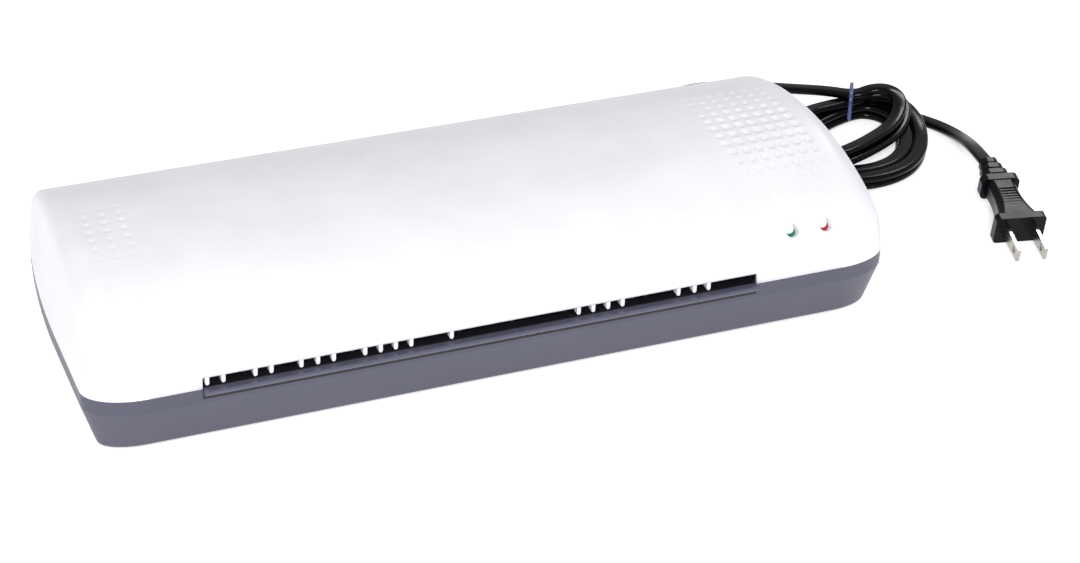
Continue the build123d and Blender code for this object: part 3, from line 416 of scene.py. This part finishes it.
def make_tie():
    """Thin strap round the gathered strands of the coil."""
    low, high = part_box("cord_tie")
    centre = (low + high) / 2 / MM
    out = Vector((centre.x - COIL_CENTRE[0], centre.y - COIL_CENTRE[1], 0)).normalized()
    along = Vector((-out.y, out.x, 0))
    offsets = [p / MM - centre for p in LEAD_POINTS]
    tied = [v for v in offsets if abs(v.dot(along)) < 3 and v.length < 30]
    spans = [v.dot(out) for v in tied]
    top = max(v.z for v in tied) + centre.z
    left = min(spans) - CORD_WIDE / 2 - 0.6
    right = max(spans) + CORD_WIDE / 2 + 0.6
    roof = top + CORD_THICK / 2 + 0.5
    middle = (left + right) / 2
    half = (right - left) / 2
    rings = []
    for k in range(48):
        a = 2 * math.pi * k / 48
        u = middle + half * math.copysign(abs(math.cos(a)) ** 0.5, math.cos(a))
        v = roof / 2 + (roof / 2 - 0.25) * math.copysign(abs(math.sin(a)) ** 0.5, math.sin(a))
        spot = Vector((centre.x, centre.y, 0)) + out * u + Vector((0, 0, v))
        inward = (Vector((centre.x, centre.y, roof / 2)) + out * middle - spot).normalized()
        rings.append([
            spot + along * -0.9, spot + along * -0.3 - inward * 0.25, spot + along * 0.3 - inward * 0.25,
            spot + along * 0.9, spot + along * 0.9 + inward * 0.25, spot + along * -0.9 + inward * 0.25,
        ])
    rings.append(rings[0])
    verts, faces = bridge(rings)
    tie = mesh_piece("twist_tie", verts, faces, MATERIALS["tie_clear"])
    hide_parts("cord_tie")
    return tie


TIE = make_tie()



PLUG_AXIS = (-0.19, -0.968, -0.158)


def make_plug_grip():
    """Fine raised grip lines across both faces of the plug."""
    axis = Vector(PLUG_AXIS).normalized()
    across = Vector((0, 0, 1)).cross(axis).normalized()
    up = axis.cross(across)
    points = []
    faces = []
    for side in (-1, 1):
        for k in range(7):
            middle = Vector(LEAD_ROUTE[-1]) + axis * (24.5 + 1.9 * k) + up * side * 5.2
            rings = []
            for u, grow in ((-5.0, 0.2), (-4.6, 1.0), (4.6, 1.0), (5.0, 0.2)):
                ring = []
                for n in range(8):
                    a = 2 * math.pi * n / 8
                    lean = axis * 0.45 * math.cos(a) + up * 0.62 * math.sin(a)
                    ring.append(middle + across * u + lean * grow)
                rings.append(ring)
            add_closed(points, faces, rings)
    grip = mesh_piece("plug_grip", points, faces, MATERIALS["plug_black"])
    return grip


GRIP = make_plug_grip()


# ---------------------------------------------------------------- top cover
HALF_LENGTH = 174.0
HALF_DEPTH = 71.0
TOP_Z = 66.4
SEAM_Z = 27.4
CREST_Y = -6.2
COVER_LIP = 4.0
CORNER_X = 24.0
CORNER_Y = 14.0
BOW_Y = -17.0
BOW_R = 430.0
REAR_R = 9.4
END_LEAN = 5.8
END_ROUND_FRONT = 17.0
END_ROUND_REAR = 2.6
WALL = 2.2
SLOT_X = (-128.7, 109.3)
SLOT_TOP = 32.4
LAMP_X = (127.3, 142.8)
LAMP_Y = -65.0
LAMP_HOLE = 3.2


def half_width(y):
    """Half length of the plan outline at depth y, with its corners."""
    front = -HALF_DEPTH + CORNER_Y
    rear = HALF_DEPTH - REAR_R
    if y < front:
        share = min(1.0, (front - y) / CORNER_Y)
        return HALF_LENGTH - CORNER_X + CORNER_X * math.sqrt(1 - share**2)
    if y < BOW_Y:
        return HALF_LENGTH
    bowed = HALF_LENGTH - BOW_R + math.sqrt(BOW_R**2 - (min(y, rear) - BOW_Y) ** 2)
    if y > rear:
        share = min(1.0, (y - rear) / REAR_R)
        return bowed - REAR_R + REAR_R * math.sqrt(1 - share**2)
    return bowed


def crown_z(y):
    """Height of the cover's skin at depth y."""
    reach = HALF_DEPTH + CREST_Y if y < CREST_Y else HALF_DEPTH - CREST_Y
    share = min(1.0, abs(y - CREST_Y) / reach)
    return SEAM_Z + COVER_LIP + (TOP_Z - SEAM_Z - COVER_LIP) * math.sqrt(1 - share**2.2)


def crown_path():
    """The cover's middle line from its front foot over the crest to its rear foot."""
    front = [(-HALF_DEPTH, z) for z in (SEAM_Z, SEAM_Z + COVER_LIP)]
    fine = 4000
    turn = [math.pi * k / fine for k in range(1, fine)]
    over = []
    for a in turn:
        reach = HALF_DEPTH + CREST_Y if a < math.pi / 2 else HALF_DEPTH - CREST_Y
        y = CREST_Y - reach * math.cos(a)
        over.append((y, crown_z(y)))
    return front + over + [(HALF_DEPTH, z) for z in (SEAM_Z + COVER_LIP, SEAM_Z)]


def resample(path, spacing, marks=()):
    """Points along a path at a spacing that depends on the place, with some places kept."""
    out = [path[0]]
    walked = 0.0
    for a, b in zip(path, path[1:]):
        walked += math.dist(a, b)
        crossed = [m for m in marks if (a[1] - m) * (b[1] - m) < 0]
        if crossed:
            share = (crossed[0] - a[1]) / (b[1] - a[1])
            out.append((a[0] + (b[0] - a[0]) * share, crossed[0]))
            walked = 0.0
        elif walked >= spacing(b):
            out.append(b)
            walked = 0.0
    out.append(path[-1])
    return out


def row_spacing(point):
    """Fine round the lamps, medium over the dimples, wide elsewhere."""
    y, z = point
    if -69.5 < y < -59.5:
        return 0.40
    if -56 < y < 26:
        return 0.75
    return 1.3


def columns():
    """Places along the cover's length, as distances from its middle along the skin."""
    places = []
    x = -200.0
    while x < 200.0:
        places.append(x)
        if 122.5 < x < 131.8 or 138.0 < x < 147.5:
            x += 0.40
        elif x < -126 or x > 112:
            x += 0.8
        else:
            x += 4.0
    places += [200.0, SLOT_X[0], SLOT_X[1]]
    places = sorted(places)
    kept = [places[0]]
    for p in places[1:]:
        if p - kept[-1] > 0.25 or p in SLOT_X:
            kept.append(p)
    return kept


KEEP_X = 130.0       # within this the columns run straight back; outside they follow the ends


def section_point(y, top, q):
    """Point of the cover's cross section at distance q along the skin from the middle."""
    side = 1 if q > 0 else -1
    high = top - SEAM_Z
    back = (HALF_DEPTH - y) / (2 * HALF_DEPTH)
    half = half_width(y)
    radius = END_ROUND_REAR + (END_ROUND_FRONT - END_ROUND_REAR) * back
    radius = max(0.8, min(radius, 0.85 * high))
    angle = math.atan2(END_LEAN, TOP_Z - SEAM_Z)
    top_x = half - math.tan(angle) * high
    turn = math.pi / 2 - angle
    flat = top_x - radius * math.tan(turn / 2)
    wall = high / math.cos(angle) - radius * math.tan(turn / 2)
    total = flat + radius * turn + wall
    keep = min(KEEP_X, flat - 1)
    s = abs(q)
    if s > keep:
        s = keep + (s - keep) / (200.0 - keep) * (total - keep)
    if s <= flat:
        return side * s, top
    if s <= flat + radius * turn:
        a = (s - flat) / radius
        return side * (flat + radius * math.sin(a)), top - radius + radius * math.cos(a)
    rest = s - flat - radius * turn
    x = flat + radius * math.sin(turn) + rest * math.sin(angle)
    z = top - radius + radius * math.cos(turn) - rest * math.cos(angle)
    return side * x, z


def dimples():
    """Centres and radii of the two patterns of shallow dimples."""
    spots = []
    for k in range(7):
        for j in range(13):
            grade = math.sin(math.pi * (j + 1.2) / 15)
            grade = max(grade, 0.62) if j < 6 else grade
            edge = 1.0 if k > 0 else 0.82
            spots.append((116.8 + 5.9 * k, 23.5 - 6.2 * j, 2.45 * grade * edge))
    for k in range(3):
        for j in range(10):
            grade = math.sin(math.pi * (j + 1.0) / 11.5)
            y = 24 - 6.2 * j
            x = -153.5 + 7.2 * k - 0.065 * (24 - y)
            spots.append((x, y, 1.5 * grade))
    return spots


DIMPLES = dimples()
DIMPLE_DEPTH = 0.85


def dimple_depth(x, y):
    if not (-164 < x < -132 or 112 < x < 158) or not -58 < y < 30:
        return 0.0
    deep = 0.0
    for cx, cy, r in DIMPLES:
        if abs(x - cx) < 3 and abs(y - cy) < 3:
            d = math.hypot(x - cx, y - cy) / max(r, 0.3)
            if d < 1:
                deep = max(deep, DIMPLE_DEPTH * (r / 2.45) * (1 - d * d))
    return deep


FOLD = ((-71.0, -128.6), (-64.8, -131.3), (-58.7, -133.4), (-50.6, -135.9), (-36.5, -136.3), (-15.0, -136.6))


def fold_x(y):
    """Place of the left edge of the raised middle."""
    if y <= FOLD[0][0]:
        return FOLD[0][1]
    for (y0, x0), (y1, x1) in zip(FOLD, FOLD[1:]):
        if y <= y1:
            return x0 + (x1 - x0) * (y - y0) / (y1 - y0)
    return FOLD[-1][1]


def hood_rise(x, y):
    """How far the middle of the cover stands proud, fading towards the crest."""
    left = 0.75 * smooth((x - fold_x(y)) / 1.3) * smooth((-14 - y) / 40)
    right_fade = smooth((112 - x) / 7)
    soft = smooth((x - 60) / 40)
    rise = left * (1 - soft) + 0.5 * smooth((-46 - y) / 20) * soft
    return rise * right_fade


def lamp_frame(x):
    """Centre and outward direction of a lamp's hole."""
    step = 0.5
    rise = crown_z(LAMP_Y + step) - crown_z(LAMP_Y - step)
    return Vector((x, LAMP_Y, crown_z(LAMP_Y))), Vector((0, -rise, 2 * step)).normalized()


LAMP_FRAMES = [lamp_frame(x) for x in LAMP_X]
WELL_DEEP = 4.6


def well_depth(point):
    """Depth of the round lamp wells, with a small rolled rim."""
    for centre, normal in LAMP_FRAMES:
        across = point - centre
        if abs(across.x) < 5:
            flat = (across - normal * across.dot(normal)).length
            if flat < LAMP_HOLE:
                return WELL_DEEP * smooth((LAMP_HOLE - flat) / 0.5)
    return 0.0


def make_cover():
    rows = resample(crown_path(), row_spacing, (SLOT_TOP,))
    places = columns()
    grid = []
    for y, top in rows:
        line = []
        for q in places:
            x, z = section_point(y, top, q)
            line.append(Vector((x, y, z)))
        grid.append(line)
    wide = len(places)
    tall = len(rows)
    out = []
    for r in range(tall):
        for c in range(wide):
            p = grid[r][c]
            du = grid[r][min(c + 1, wide - 1)] - grid[r][max(c - 1, 0)]
            dv = grid[min(r + 1, tall - 1)][c] - grid[max(r - 1, 0)][c]
            normal = du.cross(dv)
            if normal.length < 1e-9 or p.z < SEAM_Z + 0.5:
                out.append(p)
                continue
            normal.normalize()
            shift = hood_rise(p.x, p.y) * smooth((p.z - SEAM_Z - 3) / 9)
            shift -= dimple_depth(p.x, p.y)
            shift -= well_depth(p)
            out.append(p + normal * shift)
    faces = []
    for r in range(tall - 1):
        slot_row = (rows[r][1] + rows[r + 1][1]) / 2 < SLOT_TOP and abs(rows[r][0]) > 60
        for c in range(wide - 1):
            middle = (places[c] + places[c + 1]) / 2
            if slot_row and SLOT_X[0] < middle < SLOT_X[1]:
                continue
            a = r * wide + c
            faces.append((a, a + 1, a + wide + 1, a + wide))
    cover = mesh_piece("dome_cover", out, faces, MATERIALS["white_case"])
    thick = cover.modifiers.new("wall", "SOLIDIFY")
    thick.thickness = WALL * MM
    thick.offset = -1
    thick.use_even_offset = False
    apply_modifiers(cover)
    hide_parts("top_cover")


make_cover()

TOOTH_X = (
    -126.6, -120.1, -107.2, -100.7, -88.5, -81.7, -75.2, -62.2, -55.7, -49.4, -42.9,
    -25.8, 29.2, 35.6, 42.2, 48.6, 73.7, 81.0, 87.4,
)


def make_teeth():
    """White guide teeth that hang from the upper edge of the feed slot."""
    points = []
    faces = []
    for x in TOOTH_X:
        rings = []
        for y, grow in ((-70.55, 0.25), (-70.3, 0.0), (-67.3, 0.0), (-67.0, 0.25)):
            ring = []
            for k in range(9):
                a = math.pi * k / 8
                ring.append((x - (0.85 - grow) * math.cos(a), y, 29.1 - (0.8 - grow) * math.sin(a)))
            ring += [(x + 0.85 - grow, y, 33.4), (x - 0.85 + grow, y, 33.4)]
            rings.append(ring)
        add_closed(points, faces, rings)
    teeth = mesh_piece("slot_teeth", points, faces, MATERIALS["white_case"], shade=False)
    return teeth


make_teeth()


# Domed cap from its crown to its underside: radius, and depth below the cover's skin.
CAP_PROFILE = (
    (0.05, 1.0), (0.9, 1.05), (1.8, 1.25), (2.35, 1.6), (2.5, 2.0), (2.3, 2.3), (0.05, 2.3),
)


def make_lamp_hoods():
    """White domed cap in each lamp well; only the lens's near edge shows beside it."""
    points = []
    faces = []
    for centre, normal in LAMP_FRAMES:
        side = Vector((1, 0, 0))
        slope = normal.cross(side)
        if slope.z < 0:
            slope = -slope
        middle = centre - side * 1.0 + slope * 1.25
        rings = []
        for reach, deep in CAP_PROFILE:
            ring = []
            for k in range(28):
                a = 2 * math.pi * k / 28
                ring.append(middle + (side * math.cos(a) + slope * math.sin(a)) * reach - normal * deep)
            rings.append(ring)
        add_closed(points, faces, rings)
    hoods = mesh_piece("lamp_hoods", points, faces, MATERIALS["white_case"])


make_lamp_hoods()


def make_slot_shade_sheet():
    """Thin black sheet on the tray inside the feed slot: painted shade where the inside of the slot lies in
    shadow.
    """
    low = 27.42
    high = 27.6
    rings = []
    for x in (SLOT_X[0] + 0.5, SLOT_X[0] + 0.9, SLOT_X[1] - 0.9, SLOT_X[1] - 0.5):
        ease = 0.5 if x in (SLOT_X[0] + 0.5, SLOT_X[1] - 0.5) else 0.0
        rings.append([(x, -70.4 + ease, low), (x, -38.0, low), (x, -38.0, high), (x, -70.2 + ease, high)])
    verts, faces = bridge(rings)
    faces += [(0, 1, 2, 3), (12, 13, 14, 15)]
    shade_sheet = mesh_piece("slot_shade_sheet", verts, faces, MATERIALS["black_plastic"], shade=False)


make_slot_shade_sheet()


def make_lip_shadow_strip():
    """Dark strip just proud of the base below the feed lip: painted shadow under the lip's nose, not a real
    gap.
    """
    rings = []
    for x, grow in ((SLOT_X[0], 0.05), (SLOT_X[0] + 0.6, 0.14), (SLOT_X[1] - 0.6, 0.14), (SLOT_X[1], 0.05)):
        rings.append([(x, -71.0 - grow, 22.7), (x, -70.9, 22.6), (x, -70.9, 25.3), (x, -71.0 - grow, 25.3)])
    verts, faces = bridge(rings)
    faces += [(0, 1, 2, 3), (12, 13, 14, 15)]
    shadow_strip = mesh_piece("lip_shadow_strip", verts, faces, MATERIALS["black_plastic"], shade=False)


make_lip_shadow_strip()


def make_springs():
    """Two coil springs, made within the bounds of the pressure springs part."""
    low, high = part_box("pressure_springs")
    low = low / MM
    high = high / MM
    wire = 0.45
    reach = 2.9
    top = high.z - wire
    bottom = low.z + wire
    points = []
    faces = []
    for x in (low.x + reach + wire, high.x - reach - wire):
        rings = []
        for k in range(161):
            a = 2 * math.pi * 4 * k / 160
            out = Vector((math.cos(a), math.sin(a), 0))
            spot = Vector((x, (low.y + high.y) / 2, bottom + (top - bottom) * k / 160)) + out * reach
            rings.append([
                spot + out * wire * math.cos(b) + Vector((0, 0, wire * math.sin(b)))
                for b in (2 * math.pi * n / 10 for n in range(10))
            ])
        add_closed(points, faces, rings)
    springs = mesh_piece("coil_springs", points, faces, MATERIALS["spring_steel"])
    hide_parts("pressure_springs")
    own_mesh(springs)


make_springs()


# ---------------------------------------------------------------- stage and light
def make_floor():
    size = 6.0
    mesh = bpy.data.meshes.new("floor")
    corners = [(-size, -size, 0), (size, -size, 0), (size, size, 0), (-size, size, 0)]
    mesh.from_pydata(corners, [], [(0, 1, 2, 3)])
    floor = bpy.data.objects.new("floor", mesh)
    bpy.context.scene.collection.objects.link(floor)
    paint = Paint("floor", (0.93, 0.93, 0.93), 0.9, specular=0.1)
    paint.shader.inputs["Emission Color"].default_value = (1, 1, 1, 1)
    paint.shader.inputs["Emission Strength"].default_value = 0.42
    mesh.materials.append(paint.material)


def area_light(name, place, target, size, power, color=(1, 1, 1)):
    data = bpy.data.lights.new(name, "AREA")
    data.shape = "RECTANGLE"
    data.size = size[0]
    data.size_y = size[1]
    data.energy = power
    data.color = color
    light = bpy.data.objects.new(name, data)
    light.location = place
    aim = Vector(target) - Vector(place)
    light.rotation_euler = aim.to_track_quat("-Z", "Y").to_euler()
    bpy.context.scene.collection.objects.link(light)


def make_light():
    world = bpy.data.worlds.new("studio")
    bpy.context.scene.world = world
    world.use_nodes = True
    background = world.node_tree.nodes["Background"]
    background.inputs["Color"].default_value = (0.97, 0.975, 1.0, 1)
    background.inputs["Strength"].default_value = 0.52
    area_light("key", (-0.65, -1.50, 1.20), (0.0, 0, 0.03), (0.6, 0.45), 31)
    area_light("fill", (0.9, 0.7, 0.9), (0.1, 0.05, 0.03), (0.3, 0.2), 3)


make_floor()
make_light()
bpy.context.scene.view_settings.view_transform = "Standard"
